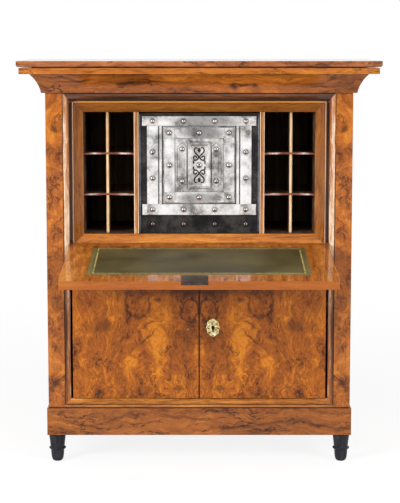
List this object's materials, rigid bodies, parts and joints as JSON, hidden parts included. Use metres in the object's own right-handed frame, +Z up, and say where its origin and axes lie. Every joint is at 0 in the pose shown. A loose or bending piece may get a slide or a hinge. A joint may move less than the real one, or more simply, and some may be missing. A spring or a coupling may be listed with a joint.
{
  "type": "fall-front secretaire",
  "caption": "Walnut fall-front writing cabinet with a leather-lined flap, pigeonholes round an iron strongbox, a coved cornice, cupboard doors below and turned feet.",
  "frame": {"origin": "on the floor, in the middle of the width, level with the front of the stiles, which is also the middle of the depth with the flap down", "axes": "+X to the right as one faces the doors, +Y to the back, +Z up"},
  "size_m": [1.216, 0.9723, 1.3854],
  "materials": {
    "polished_walnut": "French-polished walnut veneer",
    "pale_edged_wood": "dark board with a pale front edge",
    "ebonised_wood": "ebonised and polished",
    "green_leather": "green writing leather with a gilt line",
    "brass": "aged brass",
    "dark_iron": "dark lock iron",
    "black_iron": "blackened plate",
    "bright_steel": "burnished steel"
  },
  "bodies": {
    "carcass": {"left_side_panel": "polished_walnut", "right_side_panel": "polished_walnut", "left_stile": "polished_walnut", "right_stile": "polished_walnut", "head_rail": "polished_walnut", "mid_rail": "polished_walnut", "sill_rail": "polished_walnut", "moulding_left": "polished_walnut", "moulding_right": "polished_walnut", "moulding_top": "polished_walnut", "moulding_bottom": "polished_walnut", "stop_bead_left": "polished_walnut", "stop_bead_right": "polished_walnut", "stop_bead_top": "polished_walnut", "top_board": "polished_walnut", "cornice_board": "polished_walnut", "cornice_cove": "polished_walnut", "bottom_board": "polished_walnut", "back_panel": "polished_walnut", "plinth": "polished_walnut", "feet": "ebonised_wood", "desk_floor": "polished_walnut", "cupboard_shelf": "polished_walnut", "gallery_frame": "polished_walnut", "gallery_floor": "polished_walnut", "gallery_top": "polished_walnut", "gallery_sides": "polished_walnut", "left_safe_post": "polished_walnut", "right_safe_post": "polished_walnut", "left_divider": "pale_edged_wood", "right_divider": "pale_edged_wood", "left_upper_shelf": "polished_walnut", "left_lower_shelf": "polished_walnut", "right_upper_shelf": "polished_walnut", "right_lower_shelf": "polished_walnut", "flap_pivot_plates": "brass", "door_pivots": "brass", "safe_body": "black_iron", "safe_front_frame": "black_iron", "safe_frame_straps": "bright_steel", "safe_frame_studs": "bright_steel"},
    "flap": {"flap_panel": "polished_walnut", "flap_leather": "green_leather", "flap_hinge_leaves": "brass", "flap_lock": "dark_iron"},
    "flap_bolt": {"flap_lock_bolt": "bright_steel"},
    "left_door": {"left_door": "polished_walnut", "left_door_bolt_plate": "dark_iron"},
    "left_bolt": {"left_door_bolt": "bright_steel"},
    "right_door": {"right_door": "polished_walnut", "door_escutcheon": "brass", "door_lock": "dark_iron"},
    "right_bolt": {"door_lock_bolt": "bright_steel"},
    "safe_door": {"safe_door_plate": "bright_steel", "safe_door_straps": "bright_steel", "safe_door_studs": "bright_steel", "safe_door_side_plates": "bright_steel", "safe_lock_case": "dark_iron"},
    "keyhole_cover": {"keyhole_cover": "bright_steel"},
    "safe_bolt": {"safe_bolt": "bright_steel"}
  },
  "joints": [
    {"name": "flap_hinge", "type": "hinge", "parent": "carcass", "child": "flap", "pos_m": [0, 0.018, 0.75], "axis": [-1, 0, 0], "range_deg": [0, 96.5]},
    {"name": "flap_bolt_slide", "type": "slide", "parent": "flap", "child": "flap_bolt", "axis": [0, -0.9936, -0.1132], "range_m": [0, 0.01]},
    {"name": "left_door_hinge", "type": "hinge", "parent": "carcass", "child": "left_door", "pos_m": [-0.4242, 0.017, 0.45], "axis": [0, 0, 1], "range_deg": [-95, 0]},
    {"name": "left_bolt_slide", "type": "slide", "parent": "left_door", "child": "left_bolt", "axis": [0, 0, 1], "range_m": [0, 0.012]},
    {"name": "right_door_hinge", "type": "hinge", "parent": "carcass", "child": "right_door", "pos_m": [0.4242, 0.017, 0.45], "axis": [0, 0, -1], "range_deg": [-95, 0]},
    {"name": "right_bolt_slide", "type": "slide", "parent": "right_door", "child": "right_bolt", "axis": [-1, 0, 0], "range_m": [0, 0.012]},
    {"name": "safe_door_hinge", "type": "hinge", "parent": "carcass", "child": "safe_door", "pos_m": [-0.118, 0.074, 1.0285], "axis": [0, 0, 1], "range_deg": [-90, 0]},
    {"name": "safe_bolt_slide", "type": "slide", "parent": "safe_door", "child": "safe_bolt", "axis": [1, 0, 0], "range_m": [0, 0.014]},
    {"name": "keyhole_cover_hinge", "type": "hinge", "parent": "safe_door", "child": "keyhole_cover", "pos_m": [-0.0368, 0.0642, 1.0285], "axis": [0, 0, 1], "range_deg": [-120, 0]}
  ]
}
